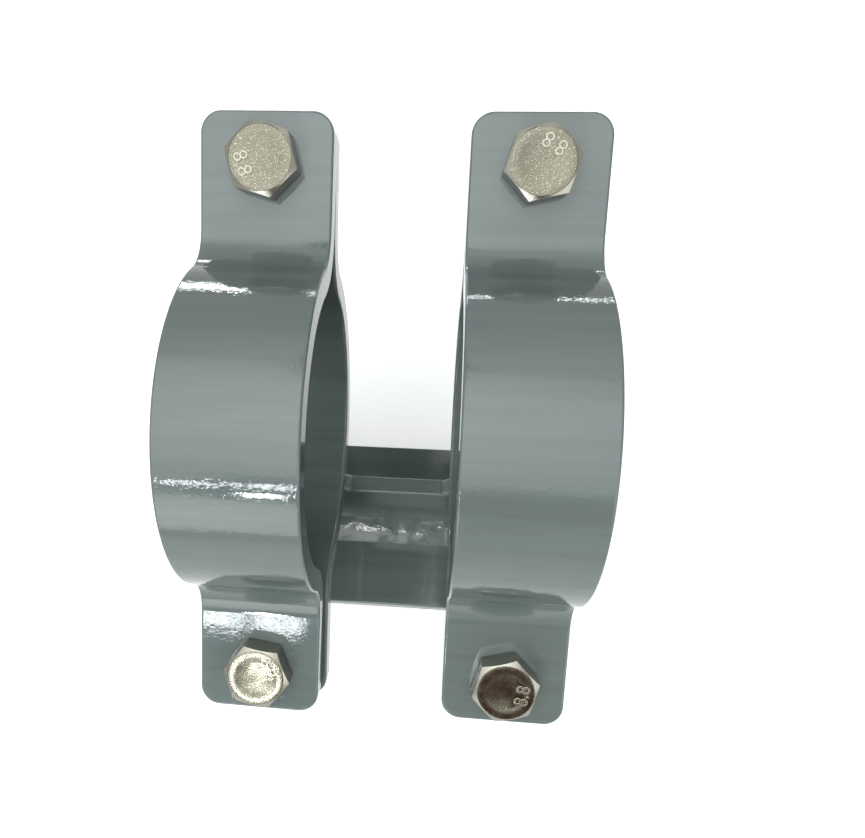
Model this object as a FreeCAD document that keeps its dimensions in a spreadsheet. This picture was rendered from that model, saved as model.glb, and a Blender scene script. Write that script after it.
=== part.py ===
import FreeCAD, Part
import math
import os
import Sketcher

# Pipe bracket: two bolted strap clamps, welded side by side on a shoe of an upright web and a base plate.
# X runs along the pipe, Y across it and Z up. The origin lies on the underside of the base plate, straight
# below the pipe's axis. Lengths are in millimetres and angles in degrees.
# A clamp is drawn in a frame of its own: x along the pipe, y towards its upper ears and z out of the parting
# plane on the cap's side, with the pipe's axis at zero. The whole clamp then leans back on the shoe.

SIZES = [
    ("bore_radius", 55, "radius of the pipe seat inside both clamps"),
    ("strap_thickness", 10, "flat bar that the straps are bent from"),
    ("strap_width", 50, "width of that bar"),
    ("bend_radius", 16, "inside radius of the bend between ring and ear"),
    ("bend_to_bolt", 23.3, "flat of the ear, from the end of the bend to the axis of the bolt"),
    ("bolt_to_ear_end", 18.5, "axis of the bolt to the end of the ear"),
    ("ear_corner_radius", 8, "rounding of the ears' corners, seen from the front"),
    ("strap_edge_radius", 1, "soft painted edges of the straps"),
    ("bolt_hole_diameter", 18, "clearance hole for the bolt"),
    ("clamp_spacing", 100, "centre to centre of the two clamps"),
    ("clamp_lean_angle", 32.5, "turn of the parting plane out of the level"),
    ("cap_open_angle", 1.1, "the left cap stands open by this much at its lower ear"),
    ("cap_turn_angle", 0.5, "and is turned by this much on its saddle"),
    ("cap_shift", 0.6, "and sits this far outwards along the pipe"),
    ("web_thickness", 8, "upright plate of the shoe"),
    ("web_height", 55, "base plate to the clamps' rings"),
    ("base_width", 90, "base plate across the pipe"),
    ("base_thickness", 8, "base plate"),
    ("base_shift", 3, "the web stands this far behind the base plate's middle"),
    ("plate_edge_radius", 0.8, "soft painted edges of the plates"),
    ("web_weld_leg", 10, "fillet welds between web and base plate"),
    ("saddle_weld_leg", 7, "fillet welds between web and rings"),
    ("end_weld_leg", 3, "small beads beside the rings on top of the web"),
    ("weld_crown", 0.8, "height of a weld's rounded face over its flat"),
    ("thread_diameter", 16, "bolts"),
    ("bolt_length", 45, "below the head"),
    ("bolt_end_chamfer", 1.5, "end of the thread"),
    ("head_height", 10, "with the washer face"),
    ("hexagon_flats", 24, "across the flats of heads and nuts"),
    ("washer_face_diameter", 22.5, "round face below the head"),
    ("washer_face_height", 0.6, "its height"),
    ("hexagon_crown_diameter", 22.8, "circle that the chamfer leaves on heads and nuts"),
    ("hexagon_chamfer_angle", 30, "chamfer of heads and nuts, from the flat face"),
    ("nut_height", 14.8, "nuts"),
    ("nut_bore_gap", 0.05, "between the nut's thread and the bolt's"),
    ("nut_mouth_depth", 1.2, "countersink at both ends of the nut's thread"),
    ("left_upper_head_angle", 45, "one corner of the hexagon, from the pipe's direction"),
    ("left_lower_head_angle", 52, "the same"),
    ("right_upper_head_angle", 13, "the same"),
    ("right_lower_head_angle", 15, "the same"),
    ("nut_angle", 22, "turn of every nut against its bolt's head"),
]

doc = FreeCAD.newDocument("PipeBracket")
sheet = doc.addObject("Spreadsheet::Sheet", "Sizes")
for row, (alias, value, meaning) in enumerate(SIZES, 1):
    sheet.set(f"A{row}", alias)
    sheet.set(f"B{row}", str(value))
    sheet.set(f"C{row}", meaning)
    sheet.setAlias(f"B{row}", alias)
doc.recompute()

# Formulas that more than one piece uses
RING_RADIUS = "(Sizes.bore_radius + Sizes.strap_thickness)"
BEND_HEIGHT = "(Sizes.strap_thickness + Sizes.bend_radius)"
BEND_OFFSET = f"sqrt(({RING_RADIUS} + Sizes.bend_radius) ^ 2 - {BEND_HEIGHT} ^ 2)"
BOLT_OFFSET = f"({BEND_OFFSET} + Sizes.bend_to_bolt)"
EAR_REACH = f"({BOLT_OFFSET} + Sizes.bolt_to_ear_end)"
WEB_TOP = "(Sizes.base_thickness + Sizes.web_height)"
AXIS_HEIGHT = f"({WEB_TOP} + {RING_RADIUS})"
SHOE_LENGTH = "(Sizes.clamp_spacing + Sizes.strap_width)"
INNER_FACE = "(Sizes.clamp_spacing - Sizes.strap_width) / 2"
CROWN_RADIUS = "Sizes.hexagon_crown_diameter / 2"

# What a sketch's constraint can name: its origin, its axes, and the points of an edge
ORIGIN = (-1, 1)
X_AXIS, Y_AXIS = -1, -2
START, END, CENTRE = range(1, 4)

NEAR = 0.01

parts = []


def now(formula):
    """The number that a formula gives with the sizes in the sheet."""
    return float(sheet.evalExpression(formula))


def vector(x="0", y="0", z="0"):
    return f"create(<<vector>>; {x}; {y}; {z})"


ALONG_X = vector(x="1")
ALONG_Z = vector(z="1")


def pose(offset=vector(), axis=ALONG_Z, angle="0", centre=vector()):
    """A placement as a formula: a turn about an axis through centre, then an offset."""
    return f"create(<<placement>>; {offset}; create(<<rotation>>; {axis}; {angle}); {centre})"


def finish_part(piece, label, placement):
    """Give a finished piece its name and its place."""
    piece.Label = label
    piece.setExpression("Placement", placement)
    parts.append(piece)


def origin_plane(body, role):
    return next(feature for feature in body.Origin.OriginFeatures if feature.Role == role)


def new_sketch(body, plane_role, name):
    sketch = body.newObject("Sketcher::SketchObject", name)
    sketch.AttachmentSupport = [(origin_plane(body, plane_role), "")]
    sketch.MapMode = "FlatFace"
    return sketch


def bind(sketch, name, kind, where, formula):
    """Add a named dimension to a sketch and tie it to the sheet."""
    index = sketch.addConstraint(Sketcher.Constraint(kind, *where, now(formula)))
    sketch.renameConstraint(index, name)
    sketch.setExpression(f"Constraints.{name}", formula)


def circle(centre, radius):
    return Part.Circle(FreeCAD.Vector(*centre, 0), FreeCAD.Vector(0, 0, 1), radius)


def arc(centre, radius, start, end):
    """An arc from angle start to angle end, both in radians, counter-clockwise."""
    return Part.ArcOfCircle(circle(centre, radius), start, end)


def line(start, end):
    return Part.LineSegment(FreeCAD.Vector(*start, 0), FreeCAD.Vector(*end, 0))


def arc_through(start, end, radius):
    """An arc of a given radius from start to end, counter-clockwise, under half a circle."""
    chord_x = end[0] - start[0]
    chord_y = end[1] - start[1]
    chord = math.hypot(chord_x, chord_y)
    inset = math.sqrt(radius ** 2 - chord ** 2 / 4)
    centre = (
        (start[0] + end[0]) / 2 - chord_y / chord * inset,
        (start[1] + end[1]) / 2 + chord_x / chord * inset,
    )
    first = math.atan2(start[1] - centre[1], start[0] - centre[0])
    last = math.atan2(end[1] - centre[1], end[0] - centre[0])
    return arc(centre, radius, first, last)


def pad(body, name, profile, length):
    """Extrude a profile by half of the length to either side of its plane."""
    bar = body.newObject("PartDesign::Pad", name)
    bar.Profile = profile
    bar.SideType = "Symmetric"
    bar.setExpression("Length", length)
    return bar


def round_edges(body, name, base, test, radius):
    """Fillet the edges of the last feature that pass a test."""
    doc.recompute()
    fillet = body.newObject("PartDesign::Fillet", name)
    fillet.Base = (base, [f"Edge{i}" for i, edge in enumerate(base.Shape.Edges, 1) if test(edge)])
    fillet.setExpression("Radius", radius)
    body.Tip = fillet
    return fillet


def extent(edge):
    box = edge.BoundBox
    return box.XLength, box.YLength, box.ZLength


def half_strap(label, placement):
    """One half of a clamp: a bar bent to a half ring with an ear at each end."""
    bore = now("Sizes.bore_radius")
    ring = now(RING_RADIUS)
    bend = now("Sizes.bend_radius")
    thick = now("Sizes.strap_thickness")
    half_width = now("Sizes.strap_width / 2")
    bend_centre = (now(BEND_OFFSET), now(BEND_HEIGHT))
    reach = now(EAR_REACH)

    body = doc.addObject("PartDesign::Body", label)

    # The upper half of the bar's profile, from the middle of the ring to the end of the ear
    ring_end = math.atan2(bend_centre[1], bend_centre[0])
    bend_start = math.pi + ring_end
    bend_end = 1.5 * math.pi
    profile = new_sketch(body, "YZ_Plane", "Profile")
    bore_arc, outside_bend, seat, tip, face, inside_bend, ring_arc, middle = profile.addGeometry([
        arc((0, 0), bore, ring_end, math.pi / 2),
        arc(bend_centre, bend + thick, bend_start, bend_end),
        line((bend_centre[0], 0), (reach, 0)),
        line((reach, 0), (reach, thick)),
        line((reach, thick), (bend_centre[0], thick)),
        arc(bend_centre, bend, bend_start, bend_end),
        arc((0, 0), ring, ring_end, math.pi / 2),
        line((0, ring), (0, bore)),
    ], False)
    profile.addConstraint([
        Sketcher.Constraint("Coincident", bore_arc, CENTRE, *ORIGIN),
        Sketcher.Constraint("Coincident", ring_arc, CENTRE, *ORIGIN),
        Sketcher.Constraint("Coincident", inside_bend, CENTRE, outside_bend, CENTRE),
        Sketcher.Constraint("Tangent", bore_arc, START, outside_bend, START),
        Sketcher.Constraint("Tangent", ring_arc, START, inside_bend, START),
        Sketcher.Constraint("Tangent", outside_bend, END, seat, START),
        Sketcher.Constraint("Tangent", inside_bend, END, face, END),
        Sketcher.Constraint("Coincident", seat, END, tip, START),
        Sketcher.Constraint("Coincident", tip, END, face, START),
        Sketcher.Constraint("Coincident", ring_arc, END, middle, START),
        Sketcher.Constraint("Coincident", middle, END, bore_arc, END),
        Sketcher.Constraint("PointOnObject", seat, END, X_AXIS),
        Sketcher.Constraint("PointOnObject", bore_arc, END, Y_AXIS),
        Sketcher.Constraint("PointOnObject", ring_arc, END, Y_AXIS),
        Sketcher.Constraint("Horizontal", seat),
        Sketcher.Constraint("Vertical", tip),
        Sketcher.Constraint("Horizontal", face),
    ])
    bind(profile, "bore", "Radius", (bore_arc,), "Sizes.bore_radius")
    bind(profile, "ring", "Radius", (ring_arc,), RING_RADIUS)
    bind(profile, "bend", "Radius", (inside_bend,), "Sizes.bend_radius")
    bind(profile, "reach", "DistanceX", (*ORIGIN, seat, END), EAR_REACH)
    bar = pad(body, "Bar", profile, "Sizes.strap_width")

    # The bolt hole in the ear
    hole_sketch = new_sketch(body, "XY_Plane", "HoleSketch")
    rim = hole_sketch.addGeometry(circle((0, now(BOLT_OFFSET)), now("Sizes.bolt_hole_diameter / 2")), False)
    hole_sketch.addConstraint(Sketcher.Constraint("PointOnObject", rim, CENTRE, Y_AXIS))
    bind(hole_sketch, "offset", "DistanceY", (*ORIGIN, rim, CENTRE), BOLT_OFFSET)
    bind(hole_sketch, "diameter", "Diameter", (rim,), "Sizes.bolt_hole_diameter")
    hole = body.newObject("PartDesign::Pocket", "BoltHole")
    hole.Profile = hole_sketch
    hole.SideType = "Symmetric"
    hole.Type = "ThroughAll"
    doc.recompute()

    # The other ear
    both = body.newObject("PartDesign::Mirrored", "BothEars")
    both.Originals = [bar, hole]
    both.MirrorPlane = (origin_plane(body, "XZ_Plane"), [""])
    body.Tip = both

    # Rounded corners of the ears
    def is_corner(edge):
        x_span, y_span, z_span = extent(edge)
        at_tip = abs(abs(edge.CenterOfMass.y) - reach) < NEAR
        return x_span < NEAR and y_span < NEAR and at_tip and abs(z_span - thick) < NEAR

    corners = round_edges(body, "EarCorners", both, is_corner, "Sizes.ear_corner_radius")

    # Soft edges all the way round both sides of the bar, but not at the holes
    def is_outline(edge):
        x_span, y_span, z_span = extent(edge)
        box = edge.BoundBox
        on_side = x_span < NEAR and abs(abs(box.XMin) - half_width) < NEAR
        on_ear = z_span < NEAR and max(abs(box.YMin), abs(box.YMax)) > reach - NEAR
        return (on_side or on_ear) and not (x_span < NEAR and y_span < NEAR)

    round_edges(body, "SoftEdges", corners, is_outline, "Sizes.strap_edge_radius")
    finish_part(body, label, placement)


def plate(label, length, width, height, placement):
    """A flat plate with soft edges, centred on X and Y and standing on z = 0."""
    body = doc.addObject("PartDesign::Body", label)
    block = body.newObject("PartDesign::AdditiveBox", "Block")
    block.setExpression("Length", length)
    block.setExpression("Width", width)
    block.setExpression("Height", height)
    block.setExpression("Placement", pose(vector(f"-{length} / 2", f"-{width} / 2")))
    round_edges(body, "SoftEdges", block, lambda edge: True, "Sizes.plate_edge_radius")
    finish_part(body, label, placement)


def face_radius(leg):
    """Radius of a weld's rounded face, from its leg and the crown over the flat."""
    return f"(({leg}) ^ 2 / 2 + Sizes.weld_crown ^ 2) / (2 * Sizes.weld_crown)"


def corner_weld(label, leg_formula, length, placement):
    """A fillet weld along X in the corner between a floor (y) and a wall (z)."""
    leg = now(leg_formula)
    body = doc.addObject("PartDesign::Body", label)
    section = new_sketch(body, "YZ_Plane", "Section")
    floor, wall, face = section.addGeometry([
        line((0, 0), (leg, 0)),
        line((0, leg), (0, 0)),
        arc_through((leg, 0), (0, leg), now(face_radius(leg_formula))),
    ], False)
    section.addConstraint([
        Sketcher.Constraint("Coincident", floor, START, *ORIGIN),
        Sketcher.Constraint("Coincident", wall, END, *ORIGIN),
        Sketcher.Constraint("Coincident", floor, END, face, START),
        Sketcher.Constraint("Coincident", wall, START, face, END),
        Sketcher.Constraint("Horizontal", floor),
        Sketcher.Constraint("Vertical", wall),
    ])
    bind(section, "floor_leg", "DistanceX", (floor, START, floor, END), leg_formula)
    bind(section, "wall_leg", "DistanceY", (wall, END, wall, START), leg_formula)
    bind(section, "face_radius", "Radius", (face,), face_radius(leg_formula))
    pad(body, "Bead", section, length)
    finish_part(body, label, placement)


def ring_weld(label, placement):
    """A fillet weld between the web's side and a ring, drawn about the pipe's axis."""
    leg_formula = "Sizes.saddle_weld_leg"
    leg = now(leg_formula)
    ring = now(RING_RADIUS)
    half_web = now("Sizes.web_thickness / 2")
    root = math.asin(half_web / ring) - math.pi / 2
    toe = math.asin((half_web + leg) / ring) - math.pi / 2
    root_point = (half_web, ring * math.sin(root))
    toe_point = (half_web + leg, ring * math.sin(toe))
    foot_point = (half_web, root_point[1] - leg)

    body = doc.addObject("PartDesign::Body", label)
    section = new_sketch(body, "YZ_Plane", "Section")
    wall, ring_side, face = section.addGeometry([
        line(foot_point, root_point),
        arc((0, 0), ring, root, toe),
        arc_through(foot_point, toe_point, now(face_radius(leg_formula))),
    ], False)
    section.addConstraint([
        Sketcher.Constraint("Coincident", ring_side, CENTRE, *ORIGIN),
        Sketcher.Constraint("Coincident", wall, END, ring_side, START),
        Sketcher.Constraint("Coincident", wall, START, face, START),
        Sketcher.Constraint("Coincident", ring_side, END, face, END),
        Sketcher.Constraint("Vertical", wall),
    ])
    bind(section, "ring", "Radius", (ring_side,), RING_RADIUS)
    bind(section, "web_side", "DistanceX", (*ORIGIN, wall, END), "Sizes.web_thickness / 2")
    bind(section, "web_leg", "DistanceY", (wall, START, wall, END), leg_formula)
    bind(section, "ring_leg", "DistanceX", (wall, END, face, END), leg_formula)
    bind(section, "face_radius", "Radius", (face,), face_radius(leg_formula))
    pad(body, "Bead", section, "Sizes.strap_width")
    finish_part(body, label, placement)


def primitive(kind, name, bottom, **sizes):
    """A solid of revolution or a prism about Z, standing on z = bottom."""
    solid = doc.addObject(kind, name)
    for prop, formula in sizes.items():
        solid.setExpression(prop, formula)
    solid.setExpression("Placement.Base.z", bottom)
    return solid


def cylinder(name, bottom, radius, height):
    return primitive("Part::Cylinder", name, bottom, Radius=radius, Height=height)


def cone(name, bottom, bottom_radius, top_radius, height):
    return primitive("Part::Cone", name, bottom, Radius1=bottom_radius, Radius2=top_radius, Height=height)


def hexagon(name, bottom, height):
    corner_radius = "Sizes.hexagon_flats / sqrt(3)"
    solid = primitive("Part::Prism", name, bottom, Circumradius=corner_radius, Height=height)
    solid.Polygon = 6
    return solid


def crown_cone(name, bottom, height, at_top):
    """The cone that leaves a chamfer at one end of a hexagon, wide at the other end."""
    wide = f"{CROWN_RADIUS} + {height} / tan(Sizes.hexagon_chamfer_angle)"
    radii = (wide, CROWN_RADIUS) if at_top else (CROWN_RADIUS, wide)
    return cone(name, bottom, *radii, height)


def combine(kind, name, solids):
    result = doc.addObject(kind, name)
    result.Shapes = solids
    return result


def bolt(label, placement):
    """A hexagon bolt along Z with the underside of its head at z = 0 and its shank below."""
    collar = "Sizes.washer_face_height"
    collar_radius = "Sizes.washer_face_diameter / 2"
    head_height = f"(Sizes.head_height - {collar})"
    radius = "Sizes.thread_diameter / 2"
    chamfer = "Sizes.bolt_end_chamfer"
    shank_length = f"(Sizes.bolt_length - {chamfer})"
    head = combine("Part::MultiCommon", f"{label}_head", [
        hexagon(f"{label}_hexagon", collar, head_height),
        crown_cone(f"{label}_crown", collar, head_height, True),
    ])
    whole = combine("Part::MultiFuse", label, [
        head,
        cylinder(f"{label}_washer_face", "0", collar_radius, collar),
        cylinder(f"{label}_shank", f"-{shank_length}", radius, shank_length),
        cone(f"{label}_end", "-Sizes.bolt_length", f"{radius} - {chamfer}", radius, chamfer),
    ])
    whole.Refine = True
    finish_part(whole, label, placement)


def nut(label, placement):
    """A hexagon nut along Z with its seat at z = 0 and its body below."""
    height = "Sizes.nut_height"
    thread = "(Sizes.thread_diameter / 2 + Sizes.nut_bore_gap)"
    depth = "Sizes.nut_mouth_depth"
    mouth = f"{thread} + {depth}"
    blank = combine("Part::MultiCommon", f"{label}_blank", [
        hexagon(f"{label}_hexagon", f"-{height}", height),
        crown_cone(f"{label}_upper_crown", f"-{height}", height, True),
        crown_cone(f"{label}_lower_crown", f"-{height}", height, False),
    ])
    hollow = combine("Part::MultiFuse", f"{label}_hollow", [
        cylinder(f"{label}_bore", f"-{height}", thread, height),
        cone(f"{label}_seat_mouth", f"-{depth}", thread, mouth, depth),
        cone(f"{label}_end_mouth", f"-{height}", mouth, thread, depth),
    ])
    whole = doc.addObject("Part::Cut", label)
    whole.Base = blank
    whole.Tool = hollow
    finish_part(whole, label, placement)


def clamp_pose(side):
    """The clamp's own frame: at its place along the pipe, leaning back on the shoe."""
    along = f"{side} * Sizes.clamp_spacing / 2"
    return pose(vector(along, "0", AXIS_HEIGHT), ALONG_X, "Sizes.clamp_lean_angle")


def cap_pose(share):
    """The loose left cap on its saddle: open at the lower ear, a little turned and shifted.

    A share of 1 is the cap itself. Its bolts take half of the turn and shift, between both holes.
    """
    opened = pose(axis=ALONG_X, angle="-Sizes.cap_open_angle", centre=vector(y=EAR_REACH))
    turned = pose(vector(f"-{share} * Sizes.cap_shift"), angle=f"-{share} * Sizes.cap_turn_angle")
    return f"{opened} * {turned}"


def bolt_grip(side, ear):
    """Head seat to nut seat, along the bolt, with the gap below a cap that stands open."""
    if side > 0:
        return "2 * Sizes.strap_thickness"
    angle = "Sizes.cap_open_angle"
    gap = f"({EAR_REACH} - {ear} * {BOLT_OFFSET}) * sin({angle})"
    edge = f"{CROWN_RADIUS} * tan({angle})"
    return f"(Sizes.strap_thickness + ({gap} + Sizes.strap_thickness) / cos({angle}) + {edge})"


# Clamps: a saddle welded to the shoe and a cap bolted to it. A saddle is a cap turned over.
turned_over = pose(axis=ALONG_X, angle="180")
for side_name, side in (("left", -1), ("right", 1)):
    frame = clamp_pose(side)
    loose = f"{frame} * {cap_pose(1)}" if side < 0 else frame
    bolt_frame = f"{frame} * {cap_pose(0.5)}" if side < 0 else frame
    half_strap(f"{side_name}_clamp_saddle", f"{frame} * {turned_over}")
    half_strap(f"{side_name}_clamp_cap", loose)
    for ear_name, ear in (("upper", 1), ("lower", -1)):
        name = f"{side_name}_{ear_name}"
        place = f"{ear} * {BOLT_OFFSET}"
        head_angle = f"Sizes.{name}_head_angle"
        on_cap = pose(vector("0", place, "Sizes.strap_thickness"), angle=head_angle)
        below = vector("0", place, f"Sizes.strap_thickness - {bolt_grip(side, ear)}")
        under_saddle = pose(below, angle=f"{head_angle} + Sizes.nut_angle")
        bolt(f"{name}_bolt", f"{bolt_frame} * {on_cap}")
        nut(f"{name}_nut", f"{bolt_frame} * {under_saddle}")

# Shoe: the base plate and the web standing on it
base_place = pose(vector(y="-Sizes.base_shift"))
web_place = pose(vector(z="Sizes.base_thickness"))
plate("base_plate", SHOE_LENGTH, "Sizes.base_width", "Sizes.base_thickness", base_place)
plate("web_plate", SHOE_LENGTH, "Sizes.web_thickness", "Sizes.web_height", web_place)

# Welds between web and base plate, between web and rings, and beside the rings on top of the web.
# Those in front of the web are the ones at its back turned round.
for face_name, face_side, turn in (("back", 1, "0"), ("front", -1, "180")):
    corner = vector("0", f"{face_side} * Sizes.web_thickness / 2", "Sizes.base_thickness")
    corner_weld(f"web_{face_name}_weld", "Sizes.web_weld_leg", SHOE_LENGTH, pose(corner, angle=turn))
    for side_name, side in (("left", -1), ("right", 1)):
        on_axis = vector(f"{side} * Sizes.clamp_spacing / 2", "0", AXIS_HEIGHT)
        ring_weld(f"{side_name}_saddle_{face_name}_weld", pose(on_axis, angle=turn))
for side_name, side in (("left", -1), ("right", 1)):
    end_place = pose(vector(f"{side} * {INNER_FACE}", "0", WEB_TOP), angle=f"{side} * 90")
    corner_weld(f"{side_name}_end_weld", "Sizes.end_weld_leg", "Sizes.web_thickness", end_place)

doc.recompute()

for thing in doc.Objects:
    if "Invalid" in thing.State or "Error" in thing.State:
        raise RuntimeError(f"{thing.Label} failed: {thing.State}")
for piece in parts:
    shape = piece.Shape
    if shape.isNull() or not shape.isValid() or len(shape.Solids) != 1:
        raise RuntimeError(f"{piece.Label} has no good single solid")

os.makedirs("parts", exist_ok=True)
for piece in parts:
    piece.Shape.exportStep(f"parts/{piece.Label}.step")
print(len(parts), "parts written")
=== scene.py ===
import math

import bmesh
import bpy
from mathutils import Matrix, Vector


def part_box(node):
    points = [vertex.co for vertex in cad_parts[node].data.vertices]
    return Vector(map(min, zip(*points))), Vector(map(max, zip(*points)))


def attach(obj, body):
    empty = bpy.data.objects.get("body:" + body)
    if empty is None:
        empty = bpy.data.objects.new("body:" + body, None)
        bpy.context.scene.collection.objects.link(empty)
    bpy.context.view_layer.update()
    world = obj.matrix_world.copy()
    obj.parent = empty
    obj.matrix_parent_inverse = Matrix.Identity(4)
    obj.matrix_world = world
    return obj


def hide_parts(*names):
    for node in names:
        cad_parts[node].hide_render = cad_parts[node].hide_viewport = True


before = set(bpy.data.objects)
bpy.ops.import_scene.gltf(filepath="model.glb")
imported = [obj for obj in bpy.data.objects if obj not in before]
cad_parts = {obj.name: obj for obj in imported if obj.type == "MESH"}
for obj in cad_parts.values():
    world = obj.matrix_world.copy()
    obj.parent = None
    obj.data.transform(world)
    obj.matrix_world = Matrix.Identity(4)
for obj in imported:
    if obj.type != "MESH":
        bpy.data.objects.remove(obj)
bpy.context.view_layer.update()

# Pipe bracket: two bolted strap clamps in grey gloss enamel, welded on a shoe of an upright web and a base
# plate, with zinc-plated hexagon bolts and nuts. The straps, the web and the base plate are the frame's own
# solids. Bolts, nuts and welds are modelled here, at the places of the frame's.
# Values are in millimetres and degrees unless a comment says otherwise. MM turns millimetres to the metres of
# the scene.

MM = 0.001

# The photograph's view
PHOTO_WIDTH = 865
PHOTO_HEIGHT = 838
FOCAL_PIXELS = 748.1
OPTICAL_CENTRE = (360.04, 461.89)
SENSOR_WIDTH = 36
CAMERA_PLACE = (16.41, -119.04, 405.88)
CAMERA_TURN = (21.078, 4.151, 4.493)

# Bolts: M16, fully threaded, hexagon head with a washer face
HEXAGON_FLATS = 24
HEAD_HEIGHT = 10
WASHER_FACE_HEIGHT = 0.6
WASHER_FACE_RADIUS = 11.25
CROWN_RADIUS = 11.4
CHAMFER_ANGLE = 30
BOLT_LENGTH = 45
THREAD_PITCH = 2
THREAD_RADIUS = 8
THREAD_ROOT_RADIUS = 6.77
THREAD_CREST = 0.25
THREAD_STEPS = 48
FLANK_ANGLE = 30
BOLT_END_CHAMFER = 1.5
EDGE_SOFTNESS = 0.22
PUNCH_RING_RADIUS = 8.1
PUNCH_RING_WIDTH = 0.5
PUNCH_DEPTH = 0.12

# Nuts
NUT_HEIGHT = 14.8
NUT_BORE_RADIUS = 8.05
NUT_MOUTH_DEPTH = 1.2

# The property class that stands raised on every head, and its polar angle on each head, seen from above it,
# counter-clockwise from the pipe's direction
CLASS_MARK = "8.8"
MARK_HEIGHT = 5.6
MARK_WIDTH = 8.6
MARK_RISE = 0.34
MARK_SINK = 0.25
MARK_CENTRE_RADIUS = 6.5
MARK_ANGLES = {"left_upper": 198, "right_upper": 60, "left_lower": 42, "right_lower": -7.5}

# The figures' body, the rounding of its edges, the thinning of its strokes and how near to each other points
# are merged, in the font's own units
FIGURE_BODY = 0.03
FIGURE_ROUNDING = 0.03
FIGURE_THINNING = 0.02
FIGURE_TOLERANCE = 0.0001

# The forged face begins this much below the floor of the punched ring, the figures this much above the rim
FORGED_FACE_MARGIN = 0.05
FIGURE_MARGIN = 0.02

# Welds. A bead's rounded end is a row of steps along it, each with the share that it keeps of the section
# before it. Each kind of bead has its shares of the full height of the ripples and of the lumps.
WELD_SINK = 0.5
WELD_CROWN = 0.9
WELD_FACE_STEPS = 20
WELD_SLICE = 0.6
WELD_END_STEPS = ((0.9, 0.93), (0.7, 0.86), (0.5, 0.7), (0.2, 0.5))
WEB_BEAD_RELIEF = (1, 1)
SADDLE_BEAD_RELIEF = (0.8, 0.7)
END_BEAD_RELIEF = (0.5, 0.4)
RIPPLE_PITCH = 3.1
RIPPLE_BOW = 0.9
RIPPLE_HEIGHT = 0.22
RIPPLE_TEXTURE_SCALE = 0.9
RIPPLE_WANDER = 3.0
LUMP_WIDTH = 12
LUMP_HEIGHT = 0.9

# Each bead takes its lumps from another stretch of the pattern. These steps, in metres, lie between two
# stretches.
LUMP_STEPS = (0.37, 0.11, 0.23)

# How many sides a round form has, up to what angle an edge is shaded smooth, and how exact a place or a
# normal is
RING_SIDES = 128
SMOOTH_ANGLE = 30
WELD_SMOOTH_ANGLE = 50
TOLERANCE = 0.01
LEVEL = 0.9999

# The pipe's axis, and where a strap's ring ends and its ears begin, from that axis
AXIS_HEIGHT = 128
RING_RADIUS = 66
EAR_RADIUS = 76

# The enamel's marks. Streaks and ridges are longer than they are wide by the inverse of the stretch. A pair
# is the least and the greatest value.
ENAMEL_DARK = "#646e6b"
ENAMEL_PALE = "#6b7673"
MARK_STRETCH = 0.06
STREAK_WIDTH = 5
RIDGE_WIDTH = 2.2
SAG_WIDTH = 11
PEEL_WIDTH = 1.8
PEEL_PATCH_WIDTH = 7
FINE_PEEL_WIDTH = 0.95
FINE_PEEL_DEPTH = 0.015
SHEEN_PATCH_WIDTH = 20
ENAMEL_ROUGHNESS = (0.03, 0.06)
PEEL_PATCH_STRENGTH = (0.4, 1.6)

# The plating's marks. Only the grain's highest tips are pale specks, painted glints, from the first of these
# heights on and in full from the second.
PLATING_PATCH_WIDTH = 5
PIT_WIDTH = 1.4
GRAIN_WIDTH = 0.32
PAINTED_GLINT_HEIGHTS = (0.6, 0.76)

# Nearly all of a noise lies between these, so a range that starts from them uses its full span
NOISE_SPAN = {"From Min": 0.3, "From Max": 0.7}

# The colours of the lamps and of the room behind the floor, and the room's light on matt surfaces
DAYLIGHT = "#f9fdff"
ROOM_WHITE = "#f6f6f4"
ROOM_LIGHT = 0.05

# The floor, in metres: its size, where it is white as seen, and from where on it has the room's colour
FLOOR_SIZE = 8
WHITE_FLOOR_RADIUS = 0.3
ROOM_FLOOR_RADIUS = 1.2

# The board's grain, the grey that it throws back on the object, and the share of the room's colour that it
# adds near the object
BOARD_GRAIN_WIDTH = 1.5
BOARD_GRAIN_DEPTH = 0.02
BOARD_GREY = "#606261"
NEAR_GLOW = 0.45

# The height that the lamps aim at, in metres
LAMP_TARGET_HEIGHT = 0.12


def choose(*objects):
    """Select these objects and nothing else. The first one is the active one."""
    bpy.ops.object.select_all(action="DESELECT")
    for obj in objects:
        obj.select_set(True)
    bpy.context.view_layer.objects.active = objects[0]


def finish_primitive(name):
    """Name the primitive that was just added and apply its place."""
    obj = bpy.context.object
    obj.name = name
    bpy.ops.object.transform_apply(location=True, rotation=True, scale=True)
    return obj


def cylinder(name, sides, radius, bottom, top):
    bpy.ops.object.select_all(action="DESELECT")
    bpy.ops.mesh.primitive_cylinder_add(
        vertices=sides, radius=radius * MM, depth=(top - bottom) * MM,
        location=(0, 0, (bottom + top) / 2 * MM)
    )
    return finish_primitive(name)


def cone(name, bottom_radius, top_radius, bottom, top):
    bpy.ops.object.select_all(action="DESELECT")
    bpy.ops.mesh.primitive_cone_add(
        vertices=RING_SIDES, radius1=bottom_radius * MM, radius2=top_radius * MM, depth=(top - bottom) * MM,
        location=(0, 0, (bottom + top) / 2 * MM)
    )
    return finish_primitive(name)


def modify(obj, kind, **settings):
    """Put a modifier on a piece and apply it."""
    choose(obj)
    modifier = obj.modifiers.new(kind, kind)
    for name, value in settings.items():
        setattr(modifier, name, value)
    bpy.ops.object.modifier_apply(modifier=modifier.name)


def carve(obj, operation, tool):
    """Join, cut or intersect a piece with another one, which is used up."""
    modify(obj, "BOOLEAN", operation=operation, solver="MANIFOLD", object=tool)
    bpy.data.objects.remove(tool)


def edit(obj):
    choose(obj)
    bpy.ops.object.mode_set(mode="EDIT")


def leave_edit():
    bpy.ops.object.mode_set(mode="OBJECT")


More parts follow.
